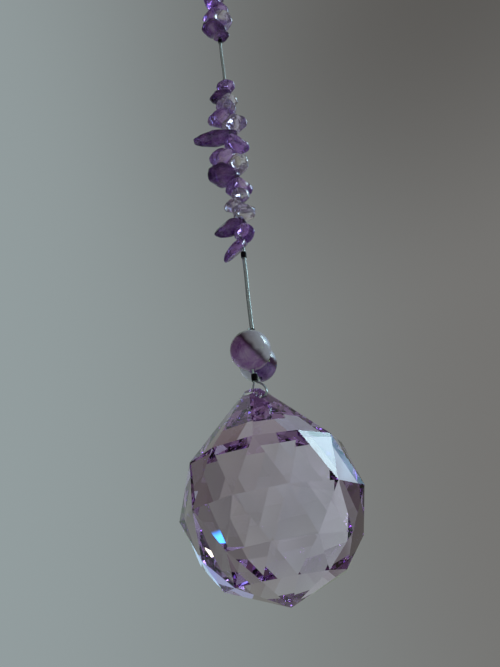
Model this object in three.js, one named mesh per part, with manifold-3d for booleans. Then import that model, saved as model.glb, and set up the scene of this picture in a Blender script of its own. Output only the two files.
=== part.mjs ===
// Crystal suncatcher: a faceted glass ball on a folded beading wire, with two round amethyst beads,
// a long stack and a short stack of tumbled amethyst chips, crimps and a steel hanging ring.
// Millimetres, +Z up. The origin is where a hook bears, on the ring's inside at its top.
import * as THREE from "three";
import { ConvexGeometry } from "three/addons/geometries/ConvexGeometry.js";
import { mergeVertices } from "three/addons/utils/BufferGeometryUtils.js";
import Module from "manifold-3d";

const wasm = await Module();
wasm.setup();

// Hanging ring
const ringBore = 8;
const ringWire = 1;
const ringSteps = 36;
const ringWireSides = 10;

// Beading wire: one length, folded over the ring, both ends held in the crimp under the round beads
const wireDiameter = 0.38;
const wireSides = 8;

// Heights of the pieces on the wire, below the origin
const topChipsStart = -36;
const chipsStart = -113.7;
const chipBore = 1.2;
const chipGap = 0.16;

// Crimps, squashed tubes round the two strands: [name, x, y, lower end, upper end]
const crimpWidth = 1.16;
const crimpBore = 0.9;
const crimpFlat = 0.62;
const crimpSides = 20;
const crimps = [
  ["crimp_under_beads", -0.45, -2.2, -145.6, -144.2],
  ["crimp_over_beads", 0, 0, -134.9, -133.6],
  ["crimp_under_chips", 0, 0, -116.1, -114.6],
  ["crimp_under_top_chips", 0, 0, -37.9, -36.4],
  ["crimp_under_ring", 0, 0, -13.9, -12.4],
];

// Round beads side by side, one on each strand: [name, centre, lean of the hole about X]
const beadDiameter = 7.5;
const beadBore = 1;
const beadSides = 24;
const beadBands = 12;
const beads = [
  ["round_bead_front", [-0.67, -3.5, -140.0], 12],
  ["round_bead_back", [0.42, 3.98, -139.1], -12],
];

// Faceted ball: rings of corners, each turned half a step from the one below it, [radius, height]
const ballCorners = 12;
const ballRings = [[9.5, 3.5], [12.8, 7.8], [15.1, 14.3], [13.1, 22.4], [1.9, 34.6]];
const ballTurn = 8.7;
const ballPole = -181.4;
const ballLean = 3.8;
const ballPivot = 20;
const ballBore = 1.8;
const ballBoreHeight = 32.3;
const ballBoreTurn = 16.4;
const ballBoreSides = 24;
const drillLength = 14;

const radians = THREE.MathUtils.degToRad;

const glass = new THREE.MeshStandardMaterial({ color: 0xb9a6cf, roughness: 0.03, metalness: 0 });
const amethyst = new THREE.MeshStandardMaterial({ color: 0x6b3f93, roughness: 0.12, metalness: 0 });
const paleAmethyst = new THREE.MeshStandardMaterial({ color: 0xb7a2c6, roughness: 0.1, metalness: 0 });
const darkAmethyst = new THREE.MeshStandardMaterial({ color: 0x2a1638, roughness: 0.1, metalness: 0 });
const steel = new THREE.MeshStandardMaterial({ color: 0xb4bab8, roughness: 0.3, metalness: 1 });
const blackMetal = new THREE.MeshStandardMaterial({ color: 0x1b191c, roughness: 0.4, metalness: 1 });

const suncatcher = new THREE.Group();

function addMesh(name, geometry, material, parent = suncatcher) {
  const mesh = new THREE.Mesh(geometry, material);
  mesh.name = name;
  parent.add(mesh);
  return mesh;
}

// The geometry with its shared corners joined, and nothing but positions left
const weldDistance = 1e-4;
function welded(geometry) {
  geometry.deleteAttribute("normal");
  geometry.deleteAttribute("uv");
  return mergeVertices(geometry, weldDistance);
}

function solid(geometry) {
  const closed = welded(geometry);
  const vertProperties = new Float32Array(closed.attributes.position.array);
  const triVerts = new Uint32Array(closed.index.array);
  return new wasm.Manifold(new wasm.Mesh({ numProp: 3, vertProperties, triVerts }));
}

function fromSolid(manifold) {
  const { vertProperties, triVerts } = manifold.getMesh();
  const geometry = new THREE.BufferGeometry();
  geometry.setAttribute("position", new THREE.BufferAttribute(vertProperties, 3));
  geometry.setIndex(new THREE.BufferAttribute(triVerts, 1));
  return geometry;
}

// Hanging ring: a closed round ring in the XZ plane, its inside at the top touching the origin
function hangingRing() {
  const ringRadius = (ringBore + ringWire) / 2;
  const geometry = welded(new THREE.TorusGeometry(ringRadius, ringWire / 2, ringWireSides, ringSteps));
  geometry.rotateX(Math.PI / 2);
  geometry.translate(0, 0, -ringBore / 2);
  return geometry;
}

// The wire's route, in order: from the crimp through the ball and up the left strand, over the ring,
// and down the right strand to the same crimp
const wireRoute = [
  [-0.24, -2.2, -144.8], [-0.24, -2.2, -145.6], [-0.05, -2.35, -145.95], [0.45, -2.75, -146.35],
  [1.0, -3.35, -147.1], [1.33, -4.05, -148.1], [1.33, -4.5, -148.9], [1.02, -4.4, -149.4],
  [0.62, -3.7, -149.45], [0.2, -2.6, -149.2], [-0.36, -1.3, -148.85], [-0.82, 0, -148.65],
  [-1.2, 1.3, -148.6], [-1.56, 2.5, -148.55], [-1.88, 3.6, -148.4], [-2.05, 4.2, -148.0],
  [-2.02, 4.2, -147.2], [-1.78, 3.5, -146.55], [-1.46, 2.2, -146.2], [-1.15, 0.6, -146.1],
  [-0.9, -1.0, -146.05], [-0.72, -1.9, -145.9], [-0.66, -2.2, -145.6], [-0.66, -2.2, -144.2],
  [-0.67, -2.45, -143.9], [-0.67, -2.76, -143.5], [-0.67, -3.5, -140.0], [-0.67, -4.24, -136.52],
  [-0.63, -4.12, -135.95], [-0.55, -3.4, -135.7], [-0.4, -1.8, -135.75], [-0.26, -0.5, -135.4],
  [-0.21, 0, -134.9], [-0.21, 0, -133.6], [-0.27, 0.04, -127.0], [-0.2, 0.05, -120.5],
  [-0.21, 0, -116.1], [-0.21, 0, -75.0], [-0.21, 0, -57.2], [-0.14, 0.05, -51.0],
  [-0.26, 0.02, -44.5], [-0.21, 0, -37.9], [-0.21, 0, -24.0], [-0.21, 0, -13.9],
  [-0.21, 0, -12.4], [-0.16, -0.32, -11.0], [-0.06, -0.66, -9.6], [0, -0.76, -8.6],
  [0, -0.56, -7.98], [0, 0, -7.74], [0, 0.56, -7.98], [0, 0.76, -8.6],
  [0.06, 0.66, -9.6], [0.16, 0.32, -11.0], [0.21, 0, -12.4], [0.21, 0, -13.9],
  [0.21, 0, -24.0], [0.21, 0, -37.9], [0.16, 0.02, -44.5], [0.28, 0.05, -51.0],
  [0.21, 0, -57.2], [0.21, 0, -75.0], [0.21, 0, -116.1], [0.22, 0.05, -120.5],
  [0.15, 0.04, -127.0], [0.21, 0, -133.6], [0.21, 0, -134.9], [0.24, 0.45, -135.25],
  [0.32, 1.7, -135.15], [0.39, 3.2, -134.75], [0.42, 4.35, -134.6], [0.42, 4.84, -135.05],
  [0.42, 4.7, -135.65], [0.42, 3.98, -139.1], [0.42, 3.26, -142.55], [0.4, 2.98, -143.1],
  [0.25, 1.4, -143.7], [0, -0.6, -143.85], [-0.18, -1.8, -143.95], [-0.24, -2.2, -144.2],
  [-0.24, -2.2, -144.5],
];

// A curve whose own points are the steps of whatever is swept along it
class RouteCurve extends THREE.CatmullRomCurve3 {
  getPointAt(u, target) {
    return this.getPoint(u, target);
  }

  getTangentAt(u, target) {
    return this.getTangent(u, target);
  }
}

function beadingWire() {
  const route = new RouteCurve(wireRoute.map((point) => new THREE.Vector3(...point)));
  const section = new THREE.Shape();
  for (let side = 0; side < wireSides; side += 1) {
    const angle = (2 * Math.PI * side) / wireSides;
    const place = [(wireDiameter / 2) * Math.cos(angle), (wireDiameter / 2) * Math.sin(angle)];
    if (side === 0) {
      section.moveTo(...place);
    } else {
      section.lineTo(...place);
    }
  }
  section.closePath();
  return welded(new THREE.ExtrudeGeometry(section, { steps: wireRoute.length - 1, extrudePath: route }));
}

// Crimp: a short barrel with a bore, flattened front to back
function crimp(length) {
  const outer = crimpWidth / 2;
  const inner = crimpBore / 2;
  const lip = (outer - inner) / 2;
  const half = length / 2;
  const profile = [[inner, -half], [outer - lip, -half], [outer, lip - half], [outer, half - lip],
    [outer - lip, half], [inner, half], [inner, -half]];
  const geometry = new THREE.LatheGeometry(profile.map(([r, y]) => new THREE.Vector2(r, y)), crimpSides);
  geometry.rotateX(Math.PI / 2);
  geometry.scale(1, crimpFlat, 1);
  return welded(geometry);
}

// Round bead: a ball drilled along Z
function roundBead() {
  const radius = beadDiameter / 2;
  const rim = Math.asin(beadBore / beadDiameter);
  const profile = [];
  for (let band = 0; band <= beadBands; band += 1) {
    const angle = rim + ((Math.PI - 2 * rim) * band) / beadBands;
    profile.push(new THREE.Vector2(radius * Math.sin(angle), -radius * Math.cos(angle)));
  }
  profile.push(profile[0].clone());
  const geometry = new THREE.LatheGeometry(profile, beadSides);
  geometry.rotateX(Math.PI / 2);
  return welded(geometry);
}

// Faceted ball, standing on its pole, drilled across near its top
function crystalBall() {
  const corners = [new THREE.Vector3(0, 0, 0)];
  ballRings.forEach(([radius, height], ring) => {
    for (let corner = 0; corner < ballCorners; corner += 1) {
      const step = (corner + (ring % 2) / 2) * (360 / ballCorners);
      const turn = radians(ballTurn + step);
      corners.push(new THREE.Vector3(radius * Math.sin(turn), -radius * Math.cos(turn), height));
    }
  });
  const drill = new THREE.CylinderGeometry(ballBore / 2, ballBore / 2, drillLength, ballBoreSides);
  drill.rotateZ(radians(ballBoreTurn));
  drill.translate(0, 0, ballBoreHeight);
  return fromSolid(solid(new ConvexGeometry(corners)).subtract(solid(drill)));
}

// Repeatable even numbers from 0 to 1 for the stones' own shapes: each state is the last one times a
// multiplier, within a prime
const numberPrime = 2147483647;
const numberMultiplier = 16807;
const seedSpacing = 7919;
const seedStart = 17;
function numberSource(seed) {
  let state = seed * seedSpacing + seedStart;
  return () => {
    state = (state * numberMultiplier) % numberPrime;
    return state / numberPrime;
  };
}

// The directions in which a stone was first broken: six faces, eight corners and four edges of a box
const breakDirections = [];
for (const x of [-1, 0, 1]) {
  for (const y of [-1, 0, 1]) {
    for (const z of [-1, 0, 1]) {
      const reach = Math.abs(x) + Math.abs(y) + Math.abs(z);
      if (reach === 1 || reach === 3 || (reach === 2 && z === 0)) {
        breakDirections.push(new THREE.Vector3(x, y, z).normalize());
      }
    }
  }
}

// A plane through the wire's axis on which one stone sits on the next: it rises under the lower
// stone's heading and falls under the upper one's, so stones that point apart sit side by side.
// The end of a stack follows the droop of its last stone.
const seatSlope = 0.45;
const endFollow = 0.8;
function seat(height, lower, upper) {
  const normal = new THREE.Vector3(0, 0, 1);
  for (const [stone, other, sign] of [[upper, lower, 1], [lower, upper, -1]]) {
    if (stone) {
      const slope = other ? sign * seatSlope : endFollow * Math.tan(radians(stone.droop));
      normal.x += slope * Math.cos(radians(stone.heading));
      normal.y += slope * Math.sin(radians(stone.heading));
    }
  }
  return { height, normal: normal.normalize() };
}

// Tumbled stone: flat breaks round an ellipsoid and two seats, blended by a power sum, with a hole
// along the wire's axis. Its surface is found along rays from the middle of the hole's wall.
const roundness = 11;
const nearestBreak = 0.8;
const breakSpread = 0.34;
const chipTurns = 12;
const chipBands = 8;
const longestRay = 8;
const halvings = 30;
function tumbledStone(stone, below, above) {
  const { reach, back, heading, width, depth, droop, seed } = stone;
  const random = numberSource(seed);
  const middle = new THREE.Vector3(0, 0, (below.height + above.height) / 2);
  const along = new THREE.Vector3(Math.cos(radians(droop)), 0, -Math.sin(radians(droop)));
  along.applyAxisAngle(new THREE.Vector3(0, 0, 1), radians(heading));
  const across = new THREE.Vector3(-Math.sin(radians(heading)), Math.cos(radians(heading)), 0);
  const upward = along.clone().cross(across);
  const halfLength = (reach + back) / 2;
  const offset = (reach - back) / 2;
  const breaks = breakDirections.map((direction) => {
    const plane = along.clone().multiplyScalar(direction.x / halfLength);
    plane.addScaledVector(across, (2 * direction.y) / width);
    plane.addScaledVector(upward, (2 * direction.z) / depth);
    const distance = nearestBreak + breakSpread * random() + plane.dot(along) * offset;
    return plane.divideScalar(distance);
  });
  for (const [side, sign] of [[above, 1], [below, -1]]) {
    const room = Math.abs(side.height - middle.z) * side.normal.z - chipGap / 2;
    breaks.push(side.normal.clone().multiplyScalar(sign / room));
  }
  const fill = (point) => breaks.reduce((sum, plane) => sum + Math.max(0, plane.dot(point)) ** roundness, 0);
  const geometry = new THREE.TorusGeometry(1, 0.5, chipBands, chipTurns);
  const { position, uv } = geometry.attributes;
  const flatLength = halfLength * Math.cos(radians(droop));
  const flatOffset = offset * Math.cos(radians(droop));
  for (let i = 0; i < position.count; i += 1) {
    const round = 2 * Math.PI * (uv.getX(i) % 1);
    const band = Math.round(uv.getY(i) * chipBands) % chipBands;
    const tip = Math.PI * (1 - band / (chipBands - 1));
    const outX = flatOffset + flatLength * Math.cos(round);
    const outY = (width / 2) * Math.sin(round);
    const angle = Math.atan2(outY, outX);
    const out = Math.hypot(outX, outY);
    const turn = angle + radians(heading);
    const start = new THREE.Vector3(Math.cos(turn), Math.sin(turn), 0).multiplyScalar(chipBore / 2);
    const rise = (above.height - below.height) / 2;
    const sink = Math.tan(radians(droop)) * Math.cos(angle) * out * Math.sin(tip);
    const ray = new THREE.Vector3(Math.cos(turn), Math.sin(turn), 0).multiplyScalar(out * Math.sin(tip));
    ray.z = rise * Math.cos(tip) - sink;
    let inside = 0;
    let outside = longestRay;
    for (let halving = 0; halving < halvings; halving += 1) {
      const length = (inside + outside) / 2;
      if (fill(start.clone().addScaledVector(ray, length)) < 1) {
        inside = length;
      } else {
        outside = length;
      }
    }
    const place = start.addScaledVector(ray, inside).add(middle);
    position.setXYZ(i, place.x, place.y, place.z);
  }
  return welded(geometry);
}

// The stones, from the bottom up. rise: height taken on the wire; reach and back: how far the stone
// goes from the wire along its heading and behind it; droop: how far its tip hangs below level.
// Headings: 0 right, 90 rear, 180 left, 270 front.
const stoneFields = ["rise", "reach", "back", "heading", "width", "depth", "droop", "tone"];
const longStack = [
  [2.6, 7.6, 2.2, 203, 3.6, 3.2, 54, amethyst],
  [3.2, 3.3, 2.2, 340, 4.4, 5.0, 25, amethyst],
  [3.0, 6.6, 1.8, 188, 3.6, 3.6, 30, darkAmethyst],
  [2.9, 4.0, 2.4, 350, 4.4, 3.2, 12, paleAmethyst],
  [2.2, 3.3, 1.8, 168, 3.4, 3.0, 10, paleAmethyst],
  [2.6, 3.3, 1.8, 345, 4.0, 4.0, 5, paleAmethyst],
  [3.8, 4.3, 2.8, 5, 4.6, 4.6, 20, amethyst],
  [3.6, 6.6, 1.6, 192, 5.4, 5.2, 0, darkAmethyst],
  [3.2, 4.0, 1.6, 352, 4.4, 5.2, 5, paleAmethyst],
  [3.6, 6.2, 1.6, 184, 4.8, 4.6, 20, amethyst],
  [3.6, 4.2, 3.0, 8, 5.2, 4.6, 5, amethyst],
  [3.4, 10.2, 3.2, 181, 3.8, 3.2, 6, darkAmethyst],
  [3.8, 4.7, 2.4, 357, 5.0, 5.2, -4, paleAmethyst],
  [3.4, 5.4, 1.9, 178, 4.4, 5.0, 10, amethyst],
  [3.2, 3.3, 2.4, 200, 4.2, 3.6, -15, paleAmethyst],
  [2.8, 3.0, 1.9, 5, 4.2, 4.0, 0, paleAmethyst],
  [2.8, 5.2, 1.9, 174, 3.6, 4.2, 25, darkAmethyst],
  [3.0, 2.8, 2.8, 350, 4.2, 3.2, 0, amethyst],
];
const shortStack = [
  [2.4, 2.8, 1.8, 350, 3.2, 3.4, 0, darkAmethyst],
  [4.4, 6.4, 1.8, 178, 4.8, 5.4, -42, darkAmethyst],
  [3.6, 4.2, 2.4, 350, 5.0, 6.4, -15, paleAmethyst],
  [3.0, 4.8, 2.0, 170, 4.6, 4.0, -10, amethyst],
  [3.2, 4.0, 2.2, 20, 4.8, 4.6, 5, amethyst],
  [2.8, 4.4, 2.0, 215, 4.4, 4.0, 5, amethyst],
  [2.6, 3.0, 2.4, 330, 4.2, 3.4, 0, paleAmethyst],
];

function addStack(prefix, rows, start, firstSeed) {
  const stones = rows.map((row, index) => {
    const stone = Object.fromEntries(stoneFields.map((field, place) => [field, row[place]]));
    return { ...stone, seed: firstSeed + index };
  });
  let below = seat(start, null, stones[0]);
  stones.forEach((stone, index) => {
    const above = seat(below.height + stone.rise, stone, stones[index + 1]);
    const name = `${prefix}_${String(index + 1).padStart(2, "0")}`;
    addMesh(name, tumbledStone(stone, below, above), stone.tone);
    below = above;
  });
}

addMesh("hanging_ring", hangingRing(), steel);
addMesh("beading_wire", beadingWire(), steel);
for (const [name, x, y, low, high] of crimps) {
  addMesh(name, crimp(high - low), blackMetal).position.set(x, y, (low + high) / 2);
}
for (const [name, centre, lean] of beads) {
  const bead = addMesh(name, roundBead(), amethyst);
  bead.position.set(...centre);
  bead.rotation.x = radians(lean);
}
addStack("chip", longStack, chipsStart, 1);
addStack("top_chip", shortStack, topChipsStart, 41);

const ballHanger = new THREE.Group();
ballHanger.position.z = ballPole + ballPivot;
ballHanger.rotation.y = -radians(ballLean);
suncatcher.add(ballHanger);
addMesh("crystal_ball", crystalBall(), glass, ballHanger).position.z = -ballPivot;

export default suncatcher;
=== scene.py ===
"""Crystal suncatcher: a faceted glass ball under amethyst beads and tumbled chips, on beading cable.

Metres, +Z up. The origin is where a hook bears, on the hanging ring's inside at its top. The front is -Y.
"""

import bmesh
import bpy
import numpy as np
from mathutils import Matrix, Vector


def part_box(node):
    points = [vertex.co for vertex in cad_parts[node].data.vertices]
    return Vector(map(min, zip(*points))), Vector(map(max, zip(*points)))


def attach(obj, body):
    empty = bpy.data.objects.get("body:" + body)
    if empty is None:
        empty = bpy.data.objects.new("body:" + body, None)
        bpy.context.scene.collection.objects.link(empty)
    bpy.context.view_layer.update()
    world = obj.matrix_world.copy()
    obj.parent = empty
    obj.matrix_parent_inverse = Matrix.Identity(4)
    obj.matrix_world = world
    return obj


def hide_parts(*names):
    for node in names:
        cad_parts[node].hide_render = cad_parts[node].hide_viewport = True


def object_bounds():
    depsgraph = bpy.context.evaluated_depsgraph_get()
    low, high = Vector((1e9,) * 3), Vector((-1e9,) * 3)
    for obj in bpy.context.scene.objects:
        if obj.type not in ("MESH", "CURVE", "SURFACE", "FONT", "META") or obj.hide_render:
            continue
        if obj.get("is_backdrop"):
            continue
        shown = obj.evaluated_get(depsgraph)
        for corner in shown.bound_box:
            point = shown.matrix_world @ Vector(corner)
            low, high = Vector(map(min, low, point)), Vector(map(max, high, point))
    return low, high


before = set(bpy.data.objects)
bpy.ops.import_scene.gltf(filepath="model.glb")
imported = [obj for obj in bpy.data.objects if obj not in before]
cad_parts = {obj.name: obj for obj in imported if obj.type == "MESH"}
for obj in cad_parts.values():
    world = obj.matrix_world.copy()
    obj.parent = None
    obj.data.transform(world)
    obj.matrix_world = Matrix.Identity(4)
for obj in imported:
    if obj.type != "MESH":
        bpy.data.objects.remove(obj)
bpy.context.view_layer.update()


# Hanging ring -------------------------------------------------------------------------------------
# A small ring bent from polished steel wire. Its ends meet at one side, where silver solder closes
# them. The folded cable hangs in the ring, and the hook goes through it.
ring_bore = 0.008
ring_wire = 0.001


def grid_piece(name, points, row_loop=False, column_loop=True, capped=False):
    """A mesh object from a grid of points, rows x columns x 3, in metres.

    Each quad joins a point to the next in its row and in its column, and the last to the first where
    that way is a loop. Its UV map counts the rows and columns from 0 to 1. Caps close the end rows.
    """
    rows, columns = points.shape[:2]
    row, column = np.meshgrid(
        np.arange(rows - (not row_loop)), np.arange(columns - (not column_loop)), indexing="ij"
    )
    corner_row = np.stack([row, row + 1, row + 1, row], -1).reshape(-1, 4)
    corner_column = np.stack([column, column, column + 1, column + 1], -1).reshape(-1, 4)
    faces = ((corner_row % rows) * columns + corner_column % columns).tolist()
    uv = np.stack([corner_row / row.shape[0], corner_column / row.shape[1]], -1).reshape(-1, 2)
    if capped:
        first = np.arange(columns)
        faces += [first.tolist(), ((rows - 1) * columns + first[::-1]).tolist()]
        uv = np.concatenate([uv, np.zeros((columns, 2)), np.ones((columns, 2))])
    mesh = bpy.data.meshes.new(name)
    mesh.from_pydata(points.reshape(-1, 3).tolist(), [], faces)
    mesh.uv_layers.new(name="UVMap").data.foreach_set("uv", uv.astype(np.float32).ravel())
    mesh.polygons.foreach_set("use_smooth", [True] * len(faces))
    mesh.update()
    piece = bpy.data.objects.new(name, mesh)
    bpy.context.scene.collection.objects.link(piece)
    return piece


class Signal:
    """A node's output, wrapped so that shader maths reads as maths, such as 1 - mask."""

    def __init__(self, finish, socket):
        self.finish = finish
        self.socket = socket

    def maths(self, operation, first, second):
        return self.finish.maths(operation, first, second)

    def __add__(self, other):
        return self.maths("ADD", self, other)

    def __sub__(self, other):
        return self.maths("SUBTRACT", self, other)

    def __mul__(self, other):
        return self.maths("MULTIPLY", self, other)

    def __radd__(self, other):
        return self.maths("ADD", other, self)

    def __rsub__(self, other):
        return self.maths("SUBTRACT", other, self)

    def __rmul__(self, other):
        return self.maths("MULTIPLY", other, self)


class Finish:
    """The nodes of one material or of the studio's sky, added one expression at a time."""

    def __init__(self, owner):
        owner.use_nodes = True
        self.owner = owner
        self.tree = owner.node_tree
        self.tree.nodes.clear()

    def node(self, kind, settings=None, inputs=None):
        """Adds a node, sets its settings, then its sockets, and gives its outputs by name."""
        node = self.tree.nodes.new(kind)
        for setting, value in (settings or {}).items():
            if setting == "stops":
                ramp = node.color_ramp
                while len(ramp.elements) < len(value):
                    ramp.elements.new(0.5)
                for element, (position, colour) in zip(ramp.elements, value):
                    element.position = position
                    element.color = (*colour, 1)
            else:
                setattr(node, setting, value)
        for socket, value in (inputs or {}).items():
            if isinstance(value, Signal):
                self.tree.links.new(value.socket, node.inputs[socket])
            elif isinstance(value, tuple) and node.inputs[socket].type == "RGBA":
                node.inputs[socket].default_value = (*value, 1)
            else:
                node.inputs[socket].default_value = value
        return {output.name: Signal(self, output) for output in node.outputs if output.enabled}

    def maths(self, operation, first, second=0.0):
        return self.node("ShaderNodeMath", {"operation": operation}, {0: first, 1: second})["Value"]

    def noise(self, vector, scale, detail=2.0, roughness=0.5, distortion=0.0):
        settings = {"noise_dimensions": "3D"}
        inputs = {"Vector": vector, "Scale": scale, "Detail": detail, "Roughness": roughness}
        return self.node("ShaderNodeTexNoise", settings, {**inputs, "Distortion": distortion})["Fac"]

    def ramp(self, factor, *stops):
        return self.node("ShaderNodeValToRGB", {"stops": stops}, {"Fac": factor})["Color"]

    def step(self, value, low, high):
        """A smooth step: 0 where the value is under low, 1 where it is over high."""
        settings = {"interpolation_type": "SMOOTHSTEP", "clamp": True}
        inputs = {"Value": value, "From Min": low, "From Max": high, "To Min": 0.0, "To Max": 1.0}
        return self.node("ShaderNodeMapRange", settings, inputs)["Result"]

    def veins(self, pattern, width):
        """Thin lines, 1 where the pattern crosses its middle and 0 further off than the width."""
        away = self.node("ShaderNodeMath", {"operation": "ABSOLUTE"}, {0: pattern - 0.5})["Value"]
        return self.step(away, width, 0.0)

    def blend(self, factor, first, second):
        """The first colour where the factor is 0, the second where it is 1. A Mix node keeps its
        colours at inputs 6 and 7 and gives its colour at output 2."""
        mix = self.tree.nodes.new("ShaderNodeMix")
        mix.data_type = "RGBA"
        mix.clamp_factor = True
        for index, value in ((0, factor), (6, first), (7, second)):
            if isinstance(value, Signal):
                self.tree.links.new(value.socket, mix.inputs[index])
            else:
                mix.inputs[index].default_value = (*value, 1) if isinstance(value, tuple) else value
        return Signal(self, mix.outputs[2])

    def bump(self, height, strength, distance):
        inputs = {"Height": height, "Strength": strength, "Distance": distance}
        return self.node("ShaderNodeBump", None, inputs)["Normal"]

    def surface(self, **sockets):
        """Ends the material in one Principled surface. Underscores in the names stand for spaces."""
        named = {socket.replace("_", " "): value for socket, value in sockets.items()}
        shader = self.node("ShaderNodeBsdfPrincipled", None, named)["BSDF"]
        self.output = self.tree.nodes.new("ShaderNodeOutputMaterial")
        self.tree.links.new(shader.socket, self.output.inputs["Surface"])
        return self.owner

    def place(self):
        return self.node("ShaderNodeTexCoord")["Object"]

    def uv(self):
        both = self.node("ShaderNodeSeparateXYZ", None, {"Vector": self.node("ShaderNodeTexCoord")["UV"]})
        return both["X"], both["Y"]


def ring_surface(rows=180, columns=36):
    """A torus in the XZ plane: at angle a round the ring and b round its wire, the point lies
    R + r cos(b) from the centre. At the soldered joint r swells by 3.5%, round a narrow groove."""
    around = np.linspace(0, 2 * np.pi, rows, endpoint=False)[:, None]
    section = np.linspace(0, 2 * np.pi, columns, endpoint=False)[None, :]
    from_joint = around - 1.05 * np.pi
    joint = np.exp(-((from_joint / 0.07) ** 2)) - 0.9 * np.exp(-((from_joint / 0.02) ** 2))
    wire = ring_wire / 2 * (1 + 0.035 * joint)
    out = (ring_bore + ring_wire) / 2 + wire * np.cos(section)
    x = out * np.cos(around)
    z = out * np.sin(around) - ring_bore / 2
    y = wire * np.sin(section) + 0 * around
    return np.stack([x, y, z], -1)


def ring_finish():
    """Bright steel with fine lines drawn along the wire and patches of dull haze."""
    finish = Finish(bpy.data.materials.new("polished_ring_steel"))
    along, around = finish.uv()
    lines = finish.node("ShaderNodeCombineXYZ", None, {"X": along * 3.0, "Y": around * 60.0})["Vector"]
    drawn = finish.noise(lines, 4.0, 4.0, 0.6)
    haze = finish.noise(finish.place(), 900.0, 3.0)
    colour = finish.blend(haze, (0.62, 0.63, 0.62), (0.80, 0.80, 0.78))
    return finish.surface(
        Base_Color=colour,
        Metallic=1.0,
        Roughness=0.14 + 0.22 * haze,
        Normal=finish.bump(drawn, 0.25, 0.00002),
    )


ring = grid_piece("ring_of_steel_wire", ring_surface(), row_loop=True)
ring.data.materials.append(ring_finish())
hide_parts("hanging_ring")
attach(ring, "root")


# Beading cable ------------------------------------------------------------------------------------
# One length of seven-strand steel cable, six fine wires laid round a seventh. From the crimp under
# the beads it goes through the ball, up the left side, over the ring and down the right side.
cable_diameter = 0.00038
cable_lay = 0.0051
cable_step = 0.00024
cable_route = 0.001 * np.array([
    [-0.24, -2.2, -144.8], [-0.24, -2.2, -145.6], [-0.05, -2.35, -145.95], [0.45, -2.75, -146.35],
    [1.0, -3.35, -147.1], [1.33, -4.05, -148.1], [1.33, -4.5, -148.9], [1.02, -4.4, -149.4],
    [0.62, -3.7, -149.45], [0.2, -2.6, -149.2], [-0.36, -1.3, -148.85], [-0.82, 0, -148.65],
    [-1.2, 1.3, -148.6], [-1.56, 2.5, -148.55], [-1.88, 3.6, -148.4], [-2.05, 4.2, -148.0],
    [-2.02, 4.2, -147.2], [-1.78, 3.5, -146.55], [-1.46, 2.2, -146.2], [-1.15, 0.6, -146.1],
    [-0.9, -1.0, -146.05], [-0.72, -1.9, -145.9], [-0.66, -2.2, -145.6], [-0.66, -2.2, -144.2],
    [-0.67, -2.45, -143.9], [-0.67, -2.76, -143.5], [-0.67, -3.5, -140.0], [-0.67, -4.24, -136.52],
    [-0.63, -4.12, -135.95], [-0.55, -3.4, -135.7], [-0.4, -1.8, -135.75], [-0.26, -0.5, -135.4],
    [-0.21, 0, -134.9], [-0.21, 0, -133.6], [-0.27, 0.04, -127.0], [-0.2, 0.05, -120.5],
    [-0.21, 0, -116.1], [-0.21, 0, -75.0], [-0.21, 0, -57.2], [-0.14, 0.05, -51.0],
    [-0.26, 0.02, -44.5], [-0.21, 0, -37.9], [-0.21, 0, -24.0], [-0.21, 0, -13.9],
    [-0.21, 0, -12.4], [-0.16, -0.32, -11.0], [-0.06, -0.66, -9.6], [0, -0.76, -8.6],
    [0, -0.56, -7.98], [0, 0, -7.74], [0, 0.56, -7.98], [0, 0.76, -8.6],
    [0.06, 0.66, -9.6], [0.16, 0.32, -11.0], [0.21, 0, -12.4], [0.21, 0, -13.9],
    [0.21, 0, -24.0], [0.21, 0, -37.9], [0.16, 0.02, -44.5], [0.28, 0.05, -51.0],
    [0.21, 0, -57.2], [0.21, 0, -75.0], [0.21, 0, -116.1], [0.22, 0.05, -120.5],
    [0.15, 0.04, -127.0], [0.21, 0, -133.6], [0.21, 0, -134.9], [0.24, 0.45, -135.25],
    [0.32, 1.7, -135.15], [0.39, 3.2, -134.75], [0.42, 4.35, -134.6], [0.42, 4.84, -135.05],
    [0.42, 4.7, -135.65], [0.42, 3.98, -139.1], [0.42, 3.26, -142.55], [0.4, 2.98, -143.1],
    [0.25, 1.4, -143.7], [0, -0.6, -143.85], [-0.18, -1.8, -143.95], [-0.24, -2.2, -144.2],
    [-0.24, -2.2, -144.5],
])


def smooth_route(points, per_gap=48):
    """The smooth line through the points: in each gap a cubic whose end slopes come from three
    chords, each chord's time being the square root of its length."""
    ends = np.concatenate([[2 * points[0] - points[1]], points, [2 * points[-1] - points[-2]]])
    before, start, end, after = ends[:-3], ends[1:-2], ends[2:-1], ends[3:]
    time = np.sqrt(np.linalg.norm(np.diff(ends, axis=0), axis=1))[:, None]
    first, second, third = time[:-2], time[1:-1], time[2:]
    slope_in = (start - before) / first - (end - before) / (first + second) + (end - start) / second
    slope_out = (end - start) / second - (after - start) / (second + third) + (after - end) / third
    slope_in, slope_out = slope_in * second, slope_out * second
    t = np.linspace(0, 1, per_gap, endpoint=False)[None, :, None]
    start, end, slope_in, slope_out = (a[:, None, :] for a in (start, end, slope_in, slope_out))
    line = start + slope_in * t + (3 * (end - start) - 2 * slope_in - slope_out) * t**2
    line = line + (2 * (start - end) + slope_in + slope_out) * t**3
    return np.concatenate([line.reshape(-1, 3), points[-1:]])


def even_steps(line, step):
    """Points a step apart along a line, and how far along it each one is."""
    far = np.concatenate([[0], np.cumsum(np.linalg.norm(np.diff(line, axis=0), axis=1))])
    wanted = np.linspace(0, far[-1], int(round(far[-1] / step)) + 1)
    return np.stack([np.interp(wanted, far, line[:, axis]) for axis in range(3)], -1), wanted


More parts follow.
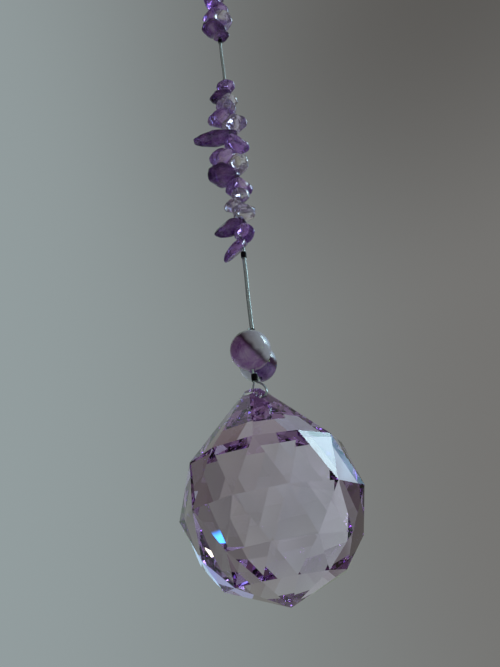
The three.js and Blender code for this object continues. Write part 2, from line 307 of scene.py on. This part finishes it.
def cable_surface(line, far, strands=6, per_strand=6):
    """Six round strands laid round a seventh: at an angle p from a strand's crest the outline is
    2a cos(p) + sqrt(a^2 - (2a sin(p))^2), a being a strand's radius, and it turns once in each lay."""
    strand = cable_diameter / 6
    column = np.arange(strands * per_strand)
    turn = 2 * np.pi * column / column.size
    crest = (turn + np.pi / strands) % (2 * np.pi / strands) - np.pi / strands
    bulge = np.sqrt(np.maximum(0, strand**2 - (2 * strand * np.sin(crest)) ** 2))
    radius = 2 * strand * np.cos(crest) + bulge
    angle = turn[None, :] + 2 * np.pi * far[:, None] / cable_lay
    along = np.gradient(line, axis=0)
    along /= np.linalg.norm(along, axis=1, keepdims=True)
    side = np.array([1.0, 0, 0]) - along * along[:, :1]
    side /= np.linalg.norm(side, axis=1, keepdims=True)
    other = np.cross(along, side)
    spread = np.cos(angle)[..., None] * side[:, None, :] + np.sin(angle)[..., None] * other[:, None, :]
    return line[:, None, :] + radius[None, :, None] * spread


def cable_finish():
    """Bright steel, with painted shade in the grooves between the strands."""
    finish = Finish(bpy.data.materials.new("twisted_beading_steel"))
    along, around = finish.uv()
    groove = finish.maths("PINGPONG", around * 6.0, 0.5)
    patina = finish.noise(finish.place(), 1400.0, 3.0)
    steel = finish.blend(patina, (0.74, 0.85, 0.82), (0.93, 1.0, 0.98))
    # Painted shade: the steel is darkened in the grooves between the strands
    colour = finish.blend(finish.step(groove, 0.30, 0.5), steel, (0.18, 0.22, 0.21))
    return finish.surface(Base_Color=colour, Metallic=0.75, Roughness=0.30 + 0.15 * patina)


cable_line, cable_far = even_steps(smooth_route(cable_route), cable_step)
cable = grid_piece("seven_strand_cable", cable_surface(cable_line, cable_far)[:, ::-1], capped=True)
cable.data.materials.append(cable_finish())
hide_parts("beading_wire")
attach(cable, "root")


# Crimps -------------------------------------------------------------------------------------------
# Short black-plated tubes squashed flat on the two strands with crimping pliers, which leave a dent
# across the middle. They hold the beads, the stacks and the ring in their places.
crimp_width = 0.00116
crimp_bore = 0.0009
crimp_flat = 0.62


def crimp_surface(node, rows=72, corner=6):
    """A tube wall with rounded lips, carried round the tube, then scaled front to back by the
    flattening and by the pliers' dent, d = 1 - 0.2 exp(-(height / 0.3 length)^2). Across, it is
    scaled by (2 - d)^0.4."""
    low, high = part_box(node)
    centre = np.array((low + high) / 2)
    half = (high.z - low.z) / 2
    outer, inner = crimp_width / 2, crimp_bore / 2
    lip = (outer - inner) / 2
    turn = np.linspace(-np.pi / 2, 0, corner)
    bottom = np.stack([outer - lip + lip * np.cos(turn), -half + lip + lip * np.sin(turn)], -1)
    wall = np.stack([np.full(9, outer), np.linspace(lip - half, half - lip, 9)], -1)[1:-1]
    outside = np.concatenate([bottom, wall, bottom[::-1] * [1, -1]])
    inside = np.stack([np.full(9, inner), np.linspace(half - lip, lip - half, 9)], -1)
    profile = np.concatenate([outside, inside])
    around = np.linspace(0, 2 * np.pi, rows, endpoint=False)[:, None]
    radius, height = profile[None, :, 0], profile[None, :, 1]
    dent = 1 - 0.2 * np.exp(-((height / (0.6 * half)) ** 2))
    x = radius * np.cos(around) * (2 - dent) ** 0.4
    y = radius * np.sin(around) * crimp_flat * dent
    return np.stack([x, y, height + 0 * around], -1) + centre


def crimp_finish():
    """Black plating, rubbed back to brass where the pliers bit."""
    finish = Finish(bpy.data.materials.new("black_plated_crimp"))
    place = finish.place()
    wear = finish.step(finish.noise(place, 2600.0, 4.0, 0.65), 0.60, 0.74)
    colour = finish.blend(wear, (0.018, 0.016, 0.019), (0.20, 0.15, 0.10))
    scratches = finish.noise(place, 6000.0, 2.0)
    return finish.surface(
        Base_Color=colour,
        Metallic=0.85,
        Roughness=0.34 + 0.2 * scratches,
        Normal=finish.bump(scratches, 0.2, 0.00002),
    )


crimp_black = crimp_finish()
for node in [name for name in sorted(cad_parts) if name.startswith("crimp_")]:
    crimp = grid_piece("squashed_" + node, crimp_surface(node), row_loop=True)
    crimp.data.materials.append(crimp_black)
    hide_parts(node)
    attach(crimp, "root")


# Round beads --------------------------------------------------------------------------------------
# Two polished balls of banded amethyst, one on each strand, side by side. Each is drilled through,
# and the drill hole's rim is lightly eased. A milky band crosses the veined purple stone on the side
# towards the window. On the back bead that band is a painted highlight at the rim, and a pale lower
# end there is a painted glow of window light focused through the bead.
bead_diameter = 0.0075
bead_bore = 0.001
bead_rim = 0.00018
# The banding's direction, which points up, right and forward, towards the window
banding_toward_window = (0.781, -0.309, 0.544)
dark_seam = (0.10, 0.035, 0.085)


def bead_surface(centre, lean, rows=128, bands=64):
    """A ball carried round its hole: the profile is a circle from rim to rim, a quarter-round of the
    rim's radius at each end, and the straight wall of the hole. The whole leans about X."""
    radius, bore = bead_diameter / 2, bead_bore / 2
    start = np.arcsin((bore + bead_rim) / radius)
    arc = np.linspace(start, np.pi - start, bands)
    ball = np.stack([radius * np.sin(arc), -radius * np.cos(arc)], -1)
    ease = np.linspace(0, np.pi / 2, 6)[1:]
    edge = radius * np.cos(start)
    rim = np.stack([bore + bead_rim * (1 - np.sin(ease)), edge - bead_rim * (1 - np.cos(ease))], -1)
    wall = np.stack([np.full(7, bore), np.linspace(edge - bead_rim, bead_rim - edge, 7)], -1)[1:-1]
    profile = np.concatenate([ball, rim, wall, rim[::-1] * [1, -1]])
    around = np.linspace(0, 2 * np.pi, rows, endpoint=False)[:, None]
    x = profile[None, :, 0] * np.cos(around)
    y = profile[None, :, 0] * np.sin(around)
    z = profile[None, :, 1] + 0 * around
    lean = np.radians(lean)
    turned_y = y * np.cos(lean) - z * np.sin(lean)
    turned_z = y * np.sin(lean) + z * np.cos(lean)
    return np.stack([x, turned_y, turned_z], -1) + np.array(centre)


def bead_finish(name, centre, milk_and_highlight_from, dark_from, painted_glow_under, stops):
    """Banded stone under a high polish. The depth along the banding direction, which points towards the
    window, in millimetres from the bead's centre, gives a milky lilac band, a thin dark one, veined
    purple and a pale end. On the back bead the milky band is a painted highlight at its rim, and the
    pale end is a painted glow of window light focused through it."""
    finish = Finish(bpy.data.materials.new(name))
    place = finish.place()
    along = finish.node("ShaderNodeVectorMath", {"operation": "DOT_PRODUCT"}, {0: place, 1: banding_toward_window})
    wander = finish.noise(place, 330.0, 3.0, 0.5, 0.4)
    depth = (along["Value"] - float(np.dot(banding_toward_window, centre))) * 1000.0 + (wander - 0.5) * 1.6
    cloud = finish.noise(place, 420.0, 4.0, 0.6, 0.8)
    fine = finish.noise(place, 1100.0, 6.0, 0.7, 1.2)
    purple = finish.blend(finish.veins(fine, 0.03) * 0.4, finish.ramp(cloud, *stops), (0.80, 0.62, 0.78))
    colour = finish.blend(finish.step(depth, dark_from, dark_from + 0.9), purple, dark_seam)
    # Milky lilac on the window side; on the back bead it is a painted highlight at the rim
    milk = finish.blend(cloud, (0.78, 0.67, 0.78), (0.96, 0.88, 0.94))
    colour = finish.blend(finish.step(depth, milk_and_highlight_from - 0.5, milk_and_highlight_from + 0.5), colour, milk)
    # The pale end: a painted glow of window light focused through the back bead
    pale = finish.step(depth, painted_glow_under + 0.3, painted_glow_under - 0.3)
    return finish.surface(
        Base_Color=finish.blend(pale, colour, (0.95, 0.93, 0.97)),
        Roughness=0.05 + 0.08 * fine,
        IOR=1.55,
        Transmission_Weight=0.22,
        Normal=finish.bump(fine, 0.06, 0.00005),
    )


# The stone's purples from deep to pale, by how cloudy it is
veined_purple = (
    (0.30, (0.26, 0.08, 0.33)),
    (0.45, (0.46, 0.18, 0.53)),
    (0.57, (0.62, 0.32, 0.66)),
    (0.70, (0.84, 0.58, 0.80)),
)
deep_violet = (
    (0.30, (0.14, 0.05, 0.24)),
    (0.48, (0.30, 0.13, 0.45)),
    (0.60, (0.45, 0.24, 0.60)),
    (0.74, (0.66, 0.48, 0.74)),
)
# Each bead: the lean of its hole in degrees, where the milky band (on the back bead a painted
# highlight) and the dark seam start, and under what depth the stone is painted pale by focused window
# light (the front one has no pale end), in millimetres, and its purples.
for node, lean, milk_and_highlight_from, dark_from, painted_glow_under, stops in (
    ("round_bead_front", 12, 1.1, -0.1, -9, veined_purple),
    ("round_bead_back", -12, 2.9, 1.2, -2.2, deep_violet),
):
    low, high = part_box(node)
    centre = (low + high) / 2
    bead = grid_piece("polished_" + node, bead_surface(centre, lean), row_loop=True)
    finish = bead_finish("banded_" + node, centre, milk_and_highlight_from, dark_from, painted_glow_under, stops)
    bead.data.materials.append(finish)
    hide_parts(node)
    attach(bead, "root")


# Tumbled chips ------------------------------------------------------------------------------------
# Broken pieces of amethyst, tumbled until their flats and corners are soft and glossy, then drilled
# and strung so that long ones point out on alternate sides. Some are near black, some almost clear.
chip_bore = 0.0012
chip_gap = 0.00016
seat_slope, end_follow = 0.45, 0.8
roundness = 11
nearest_break, break_spread = 0.8, 0.34
longest_ray, halvings = 8.0, 30
ripple_depth = 0.016
long_stack_start = -0.1137
short_stack_start = -0.036
# Each stone: height on the cable, reach along its heading, reach behind it, heading in degrees,
# width, depth (all in millimetres), droop of its tip in degrees, and its tone of amethyst.
long_stack = [
    (2.6, 7.6, 2.2, 203, 3.6, 3.2, 54, "amethyst"), (3.2, 3.3, 2.2, 340, 4.4, 5.0, 25, "amethyst"),
    (3.0, 6.6, 1.8, 188, 3.6, 3.6, 30, "dark"), (2.9, 4.0, 2.4, 350, 4.4, 3.2, 12, "pale"),
    (2.2, 3.3, 1.8, 168, 3.4, 3.0, 10, "pale"), (2.6, 3.3, 1.8, 345, 4.0, 4.0, 5, "pale"),
    (3.8, 4.3, 2.8, 5, 4.6, 4.6, 20, "amethyst"), (3.6, 6.6, 1.6, 192, 5.4, 5.2, 0, "dark"),
    (3.2, 4.0, 1.6, 352, 4.4, 5.2, 5, "pale"), (3.6, 6.2, 1.6, 184, 4.8, 4.6, 20, "amethyst"),
    (3.6, 4.2, 3.0, 8, 5.2, 4.6, 5, "amethyst"), (3.4, 10.2, 3.2, 181, 3.8, 3.2, 6, "dark"),
    (3.8, 4.7, 2.4, 357, 5.0, 5.2, -4, "pale"), (3.4, 5.4, 1.9, 178, 4.4, 5.0, 10, "amethyst"),
    (3.2, 3.3, 2.4, 200, 4.2, 3.6, -15, "pale"), (2.8, 3.0, 1.9, 5, 4.2, 4.0, 0, "pale"),
    (2.8, 5.2, 1.9, 174, 3.6, 4.2, 25, "dark"), (3.0, 2.8, 2.8, 350, 4.2, 3.2, 0, "amethyst"),
]
short_stack = [
    (2.4, 2.8, 1.8, 350, 3.2, 3.4, 0, "dark"), (4.4, 6.4, 1.8, 178, 4.8, 5.4, -42, "dark"),
    (3.6, 4.2, 2.4, 350, 5.0, 6.4, -15, "pale"), (3.0, 4.8, 2.0, 170, 4.6, 4.0, -10, "amethyst"),
    (3.2, 4.0, 2.2, 20, 4.8, 4.6, 5, "amethyst"), (2.8, 4.4, 2.0, 215, 4.4, 4.0, 5, "amethyst"),
    (2.6, 3.0, 2.4, 330, 4.2, 3.4, 0, "pale"),
]


def seat_normal(lower, upper):
    """The upward normal of the plane on which one stone sits on the next. It rises under the lower
    stone's heading and falls under the upper one's, and at a stack's end it follows the droop."""
    normal = np.array([0.0, 0, 1])
    for stone, other, sign in ((upper, lower, 1), (lower, upper, -1)):
        if stone:
            heading = np.radians(stone[3])
            slope = sign * seat_slope if other else end_follow * np.tan(np.radians(stone[6]))
            normal += slope * np.array([np.cos(heading), np.sin(heading), 0])
    return normal / np.linalg.norm(normal)


def stone_random(seed, count):
    """Repeatable numbers from 0 to 1: each state is the last times a multiplier, modulo a prime."""
    multiplier, prime, seed_spacing, seed_start = 16807, 2147483647, 7919, 17
    state, numbers = seed * seed_spacing + seed_start, []
    for _ in range(count):
        state = state * multiplier % prime
        numbers.append(state / prime)
    return np.array(numbers)


def stone_surface(stone, seed, below, above, turns=72, bands=44):
    """Flat breaks round an ellipsoid and two seats, blended: the surface is where the sum of
    max(0, plane . point)^roundness is 1. It is found by halving along rays from the hole's wall,
    and a ripple of under 5% goes over it."""
    reach, back, width, depth = (0.001 * stone[field] for field in (1, 2, 4, 5))
    heading, droop = np.radians(stone[3]), np.radians(stone[6])
    middle = np.array([0, 0, (below[0] + above[0]) / 2])
    forward = np.array([np.cos(heading), np.sin(heading), 0])
    along = np.cos(droop) * forward - np.sin(droop) * np.array([0, 0, 1])
    across = np.array([-np.sin(heading), np.cos(heading), 0])
    upward = np.cross(along, across)
    half, offset = (reach + back) / 2, (reach - back) / 2
    steps = np.stack(np.meshgrid([-1, 0, 1], [-1, 0, 1], [-1, 0, 1], indexing="ij"), -1).reshape(-1, 3)
    count = np.abs(steps).sum(1)
    steps = steps[(count == 1) | (count == 3) | ((count == 2) & (steps[:, 2] == 0))]
    steps = steps / np.linalg.norm(steps, axis=1, keepdims=True)
    planes = steps[:, :1] * along / half
    planes = planes + 2 * steps[:, 1:2] * across / width + 2 * steps[:, 2:] * upward / depth
    distance = nearest_break + break_spread * stone_random(seed, len(planes)) + planes @ along * offset
    planes /= distance[:, None]
    seats = [
        sign * normal / (abs(height - middle[2]) * normal[2] - chip_gap / 2)
        for (height, normal), sign in ((above, 1), (below, -1))
    ]
    planes = np.concatenate([planes, seats])
    around = np.linspace(0, 2 * np.pi, turns, endpoint=False)[:, None]
    tip = np.pi * (1 - np.linspace(0, 1, bands))[None, :]
    out_x = np.cos(droop) * (offset + half * np.cos(around))
    out_y = width / 2 * np.sin(around)
    angle, out = np.arctan2(out_y, out_x), np.hypot(out_x, out_y)
    turn = angle + heading
    sideways = np.stack([np.cos(turn), np.sin(turn), 0 * turn], -1)
    start = sideways * chip_bore / 2 + 0 * tip[..., None]
    ray = sideways * (out * np.sin(tip))[..., None]
    sink = np.tan(droop) * np.cos(angle) * out * np.sin(tip)
    ray[..., 2] = (above[0] - below[0]) / 2 * np.cos(tip) - sink
    inside, outside = np.zeros(ray.shape[:2]), np.full(ray.shape[:2], longest_ray)
    for _ in range(halvings):
        length = (inside + outside) / 2
        point = start + ray * length[..., None]
        filled = (np.maximum(0, point @ planes.T) ** roundness).sum(-1) < 1
        inside, outside = np.where(filled, length, inside), np.where(filled, outside, length)
    phase = 6 * stone_random(seed + 100, 6)
    place = 1000 * (start + ray * inside[..., None])
    ripple = np.sin(1.9 * place[..., 0] + phase[0]) * np.sin(2.3 * place[..., 1] + phase[1])
    ripple = ripple + 0.6 * np.sin(3.7 * place[..., 2] + phase[2]) * np.sin(3.1 * place[..., 0] + phase[3])
    length = inside * (1 - ripple_depth * (1 + ripple) * np.sin(tip))
    return start + ray * length[..., None] + middle


def stone_finish(name, stops, clear, cloud_scale):
    """Polished amethyst: colour in drifting zones from deep to clear, a few milky threads, soft
    traces of old breaks, and the faint pits that tumbling leaves."""
    finish = Finish(bpy.data.materials.new(name))
    place = finish.place()
    zone = finish.noise(place, cloud_scale, 3.0, 0.55, 0.4)
    thread = finish.noise(place, 1500.0, 5.0, 0.7, 2.0)
    milk = finish.veins(thread, 0.02) * 0.35
    colour = finish.blend(milk, finish.ramp(zone, *stops), (0.80, 0.72, 0.82))
    pits = finish.noise(place, 3200.0, 3.0, 0.6)
    cells = finish.node("ShaderNodeTexVoronoi", {"feature": "F1"}, {"Vector": place, "Scale": 520.0})
    return finish.surface(
        Base_Color=colour,
        Roughness=0.04 + 0.10 * pits,
        IOR=1.55,
        Transmission_Weight=clear,
        Normal=finish.bump(cells["Distance"] * 3.0 + pits * 0.15, 0.35, 0.0003),
    )


# Each tone: its slot, its colours from deep to clear by zone, how much light goes through it, and the
# fineness of its zones.
stone_tones = {}
for tone, slot, stops, clear, cloud_scale in (
    ("amethyst", "amethyst", (
        (0.30, (0.26, 0.08, 0.44)), (0.45, (0.50, 0.22, 0.76)),
        (0.57, (0.74, 0.46, 0.92)), (0.70, (0.97, 0.76, 0.90)),
    ), 0.80, 230.0),
    ("pale", "pale_amethyst", (
        (0.30, (0.60, 0.38, 0.80)), (0.44, (0.80, 0.62, 0.92)),
        (0.56, (0.95, 0.84, 0.97)), (0.70, (1.0, 0.86, 0.76)),
    ), 0.88, 200.0),
    ("dark", "dark_amethyst", (
        (0.30, (0.05, 0.012, 0.09)), (0.46, (0.15, 0.045, 0.25)),
        (0.58, (0.38, 0.15, 0.54)), (0.72, (0.74, 0.46, 0.74)),
    ), 0.62, 240.0),
):
    stone_tones[tone] = (slot, stone_finish("tumbled_" + slot, stops, clear, cloud_scale))


def string_stack(prefix, stones, start, first_seed):
    """Seats the stones one on another from the stack's bottom up and dresses each CAD chip."""
    below = (start, seat_normal(None, stones[0]))
    for index, stone in enumerate(stones):
        upper = stones[index + 1] if index + 1 < len(stones) else None
        above = (below[0] + 0.001 * stone[0], seat_normal(stone, upper))
        node = f"{prefix}_{index + 1:02d}"
        slot, finish = stone_tones[stone[7]]
        surface = stone_surface(stone, first_seed + index, below, above)
        chip = grid_piece("tumbled_" + node, surface, row_loop=True)
        chip.data.materials.append(finish)
        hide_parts(node)
        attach(chip, "root")
        below = above


string_stack("chip", long_stack, long_stack_start, 1)
string_stack("top_chip", short_stack, short_stack_start, 41)


# Crystal ball -------------------------------------------------------------------------------------
# Pale lilac crystal glass, cut in rings of three-cornered facets and polished, with a hole drilled
# across under the little flat on top. The facet edges are eased by a hair in the polishing.
# Each ring of corners: its radius and its height over the pole, in millimetres.
ball_corners = 12
ball_rings = ((9.5, 3.5), (12.8, 7.8), (15.1, 14.3), (13.1, 22.4), (1.9, 34.6))
ball_turn, ball_lean = 8.7, 3.8
ball_pole, ball_pivot = -0.1814, 0.020
ball_bore, ball_bore_height, ball_bore_turn = 0.0018, 0.0323, 16.4
drill_length, drill_sides = 0.014, 96
facet_ease = 0.00005


def crystal_mesh():
    """The convex hull of the pole and of rings of corners, each ring half a step round from the one
    below, standing on its pole at the origin."""
    corners = [(0.0, 0.0, 0.0)]
    for ring, (radius, height) in enumerate(ball_rings):
        turn = np.radians(ball_turn + (np.arange(ball_corners) + (ring % 2) / 2) * 360 / ball_corners)
        level = np.full(ball_corners, height)
        circle = np.stack([radius * np.sin(turn), -radius * np.cos(turn), level], -1)
        corners += (0.001 * circle).tolist()
    solid = bmesh.new()
    made = [solid.verts.new(corner) for corner in corners]
    bmesh.ops.convex_hull(solid, input=made)
    bmesh.ops.dissolve_limit(solid, angle_limit=np.radians(0.3), verts=solid.verts, edges=solid.edges)
    mesh = bpy.data.meshes.new("cut_lilac_crystal")
    solid.to_mesh(mesh)
    solid.free()
    return mesh


def drill_surface():
    """A straight tube along Y through the origin, of the bore's radius."""
    around = np.linspace(0, 2 * np.pi, drill_sides, endpoint=False)
    along = np.array([[-0.5], [0.5]]) * drill_length + 0 * around
    x = ball_bore / 2 * np.cos(around) + 0 * along
    z = ball_bore / 2 * np.sin(around) + 0 * along
    return np.stack([x, along, z], -1)


crystal = bpy.data.objects.new("cut_lilac_crystal", crystal_mesh())
bpy.context.scene.collection.objects.link(crystal)
drill = grid_piece("drill", drill_surface(), capped=True)
drill_turn = Matrix.Rotation(np.radians(ball_bore_turn), 4, "Z")
drill.data.transform(Matrix.Translation((0, 0, ball_bore_height)) @ drill_turn)
cut = crystal.modifiers.new("drilled", "BOOLEAN")
cut.operation = "DIFFERENCE"
cut.solver = "EXACT"
cut.object = drill
bpy.context.view_layer.update()
finished = crystal.evaluated_get(bpy.context.evaluated_depsgraph_get())
drilled = bpy.data.meshes.new_from_object(finished)
crystal.modifiers.clear()
crystal.data = drilled
bpy.data.objects.remove(drill)
crystal.data.transform(
    Matrix.Translation((0, 0, ball_pole + ball_pivot))
    @ Matrix.Rotation(-np.radians(ball_lean), 4, "Y")
    @ Matrix.Translation((0, 0, -ball_pivot))
)
ease = crystal.modifiers.new("eased_facets", "BEVEL")
ease.width = facet_ease
ease.segments = 1
ease.limit_method = "ANGLE"
ease.angle_limit = np.radians(5)


def crystal_finish():
    """Clear glass, tinted lilac through its thickness."""
    finish = Finish(bpy.data.materials.new("lilac_crystal_glass"))
    made = finish.surface(Base_Color=(1, 1, 1), Roughness=0.0, IOR=1.58, Transmission_Weight=1.0)
    tint = finish.node("ShaderNodeVolumeAbsorption", None, {"Color": (0.70, 0.35, 0.83), "Density": 20.0})
    finish.tree.links.new(tint["Volume"].socket, finish.output.inputs["Volume"])
    return made


crystal.data.materials.clear()
crystal.data.materials.append(crystal_finish())
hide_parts("crystal_ball")
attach(crystal, "root")


# Studio -------------------------------------------------------------------------------------------
# A plain pale floor under the hanging piece and a plain grey backdrop. Round them, out of the
# camera's sight, is what lights the glass: a window on the right, dim walls and dim cards.
floor_level, floor_radius = -0.5, 1.6


def floor_surface(steps=96):
    """A level disc, with a small hole in the middle where its quads would meet."""
    around = np.linspace(0, 2 * np.pi, steps, endpoint=False)
    radius = np.array([[0.01], [floor_radius / 4], [floor_radius]])
    x, y = radius * np.cos(around), radius * np.sin(around)
    return np.stack([x, y, floor_level + 0 * x], -1)


def floor_finish():
    """Pale matt paint, faintly mottled."""
    finish = Finish(bpy.data.materials.new("pale_floor"))
    grain = finish.noise(finish.place(), 60.0, 4.0)
    colour = finish.blend(grain, (0.86, 0.80, 0.76), (0.92, 0.86, 0.82))
    return finish.surface(Base_Color=colour, Roughness=0.75)


floor = grid_piece("floor", floor_surface())
floor.data.materials.append(floor_finish())
floor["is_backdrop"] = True

sky = Finish(bpy.data.worlds.new("studio"))
bpy.context.scene.world = sky.owner
outward = sky.node("ShaderNodeTexCoord")["Generated"]
direction = sky.node("ShaderNodeSeparateXYZ", None, {"Vector": outward})
azimuth = sky.maths("ARCTAN2", direction["X"], direction["Y"]) * (180 / np.pi)
elevation = sky.maths("ARCSINE", direction["Z"]) * (180 / np.pi)

# The backdrop: cool grey on the left, warm grey on the right, and darker high on the right
wall = sky.blend(sky.step(direction["X"], -0.57, 0.47), (0.295, 0.345, 0.352), (0.175, 0.172, 0.165))
upper_right = sky.step(elevation, 28.0, 60.0) * sky.step(direction["X"], -0.37, 0.50)
wall = sky.blend(upper_right, wall, (0.095, 0.091, 0.086))

# The wall as the glass sees it, from 60 degrees left to 60 degrees right of straight behind
seen_through_glass = sky.ramp(
    (azimuth + 60) * (1 / 120),
    (0.17, (0.42, 0.50, 0.46)),
    (0.38, (0.33, 0.41, 0.36)),
    (0.50, (0.30, 0.36, 0.30)),
    (0.61, (0.245, 0.278, 0.225)),
    (0.70, (0.15, 0.165, 0.135)),
    (0.87, (0.13, 0.12, 0.105)),
)
folds = sky.noise(outward, 5.0, 2.0)
shaded = sky.blend(0.30, seen_through_glass, (0.09, 0.11, 0.09))
colour = sky.blend(sky.step(folds, 0.35, 0.65), seen_through_glass, shaded)

# What else the glass sees: azimuth from and to, elevation from and to, softness in degrees, and
# colour. Azimuth 0 is straight behind the piece, and 90 is on its right.
surroundings = (
    (64, 181, -91, 91, 10, (0.10, 0.10, 0.10)),  # the dim room on the right and in front
    (-181, -50, -91, 91, 8, (0.07, 0.06, 0.06)),  # the dim room on the left and in front
    (-50, -35.6, 2, 38, 1, (0.15, 0.16, 0.145)),  # a dim strip on the left
    (70, 96, 22, 54, 1.5, (4.4, 6.4, 7.2)),  # the window
    (54, 70, 20, 45, 1.5, (1.0, 1.8, 2.4)),  # its dimmer edge
    (46, 54, 24, 44, 1.5, (0.35, 0.45, 0.75)),  # its fainter, bluish edge
    (34, 45, 31, 60, 2, (0.36, 0.46, 0.64)),  # a bluish patch above and beside it
    (84, 92, 26, 34, 1.5, (18.0, 22.0, 24.0)),  # its bright core
    (37.6, 40.6, 11.6, 13.4, 0.4, (0.25, 1.6, 4.5)),  # a small blue light
    (105.0, 109.0, -2.0, 2.0, 0.5, (7.0, 15.0, 4.0)),  # a small green-white light
)
haze = sky.noise(outward, 14.0, 2.0)
for west, east, bottom, top, soft, tone in surroundings:
    inside = sky.step(azimuth, west - soft, west + soft) * sky.step(azimuth, east + soft, east - soft)
    inside = inside * sky.step(elevation, bottom - soft, bottom + soft)
    inside = inside * sky.step(elevation, top + soft, top - soft)
    if max(tone) > 2:
        inside = inside * (1 - 0.4 * sky.step(haze, 0.42, 0.60))
    colour = sky.blend(inside, colour, tone)
colour = sky.blend(sky.node("ShaderNodeLightPath")["Is Camera Ray"], colour, wall)
background = sky.node("ShaderNodeBackground", None, {"Color": colour, "Strength": 1.0})
sky_output = sky.tree.nodes.new("ShaderNodeOutputWorld")
sky.tree.links.new(background["Background"].socket, sky_output.inputs["Surface"])


def card(name, west, east, bottom, top, tone, distance=0.3, middle=-0.164, steps=24):
    """A card curved round the ball: the points at one distance from its middle whose azimuths and
    elevations run between the given ones. It glows dimly, and only the glass and the polish see it."""
    turn = np.radians(np.linspace(west, east, steps))[None, :]
    lift = np.radians(np.linspace(bottom, top, steps))[:, None]
    out = np.stack([np.sin(turn) * np.cos(lift), np.cos(turn) * np.cos(lift), np.sin(lift) + 0 * turn], -1)
    piece = grid_piece(name, distance * out + np.array([0, 0, middle]), column_loop=False)
    finish = Finish(bpy.data.materials.new(name))
    piece.data.materials.append(
        finish.surface(
            Base_Color=(0, 0, 0),
            Roughness=1.0,
            Specular_IOR_Level=0.0,
            Emission_Color=tone,
            Emission_Strength=1.0,
        )
    )
    piece.visible_camera = False
    piece.visible_diffuse = False
    piece.visible_shadow = False
    piece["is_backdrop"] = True


card("dim_card_behind", -12, 17, -50, -17, (0.25, 0.26, 0.24))
card("dark_card_behind", 17, 60, -50, -17, (0.13, 0.095, 0.09))
card("dark_card_below", -180, 180, -89, -50, (0.070, 0.045, 0.085))

# The camera is close in front of the ball and looks up past it, leaning a few degrees.
camera_place = (0, -0.085, -0.1834)
look_up, look_right, camera_lean = 29.90874, -0.3034, 6.15107
lens = bpy.data.cameras.new("camera")
lens.sensor_width = 36
lens.sensor_fit = "AUTO"
lens.lens = 27.53
lens.clip_start = 0.001
camera = bpy.data.objects.new("camera", lens)
camera.matrix_world = (
    Matrix.Translation(camera_place)
    @ Matrix.Rotation(-np.radians(look_right), 4, "Z")
    @ Matrix.Rotation(np.radians(90 + look_up), 4, "X")
    @ Matrix.Rotation(-np.radians(camera_lean), 4, "Z")
)
scene = bpy.context.scene
scene.collection.objects.link(camera)
scene.camera = camera
scene.view_settings.view_transform = "Standard"
scene.cycles.use_denoising = True
scene.cycles.max_bounces = 24
scene.cycles.transmission_bounces = 24
scene.cycles.glossy_bounces = 12

low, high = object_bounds()
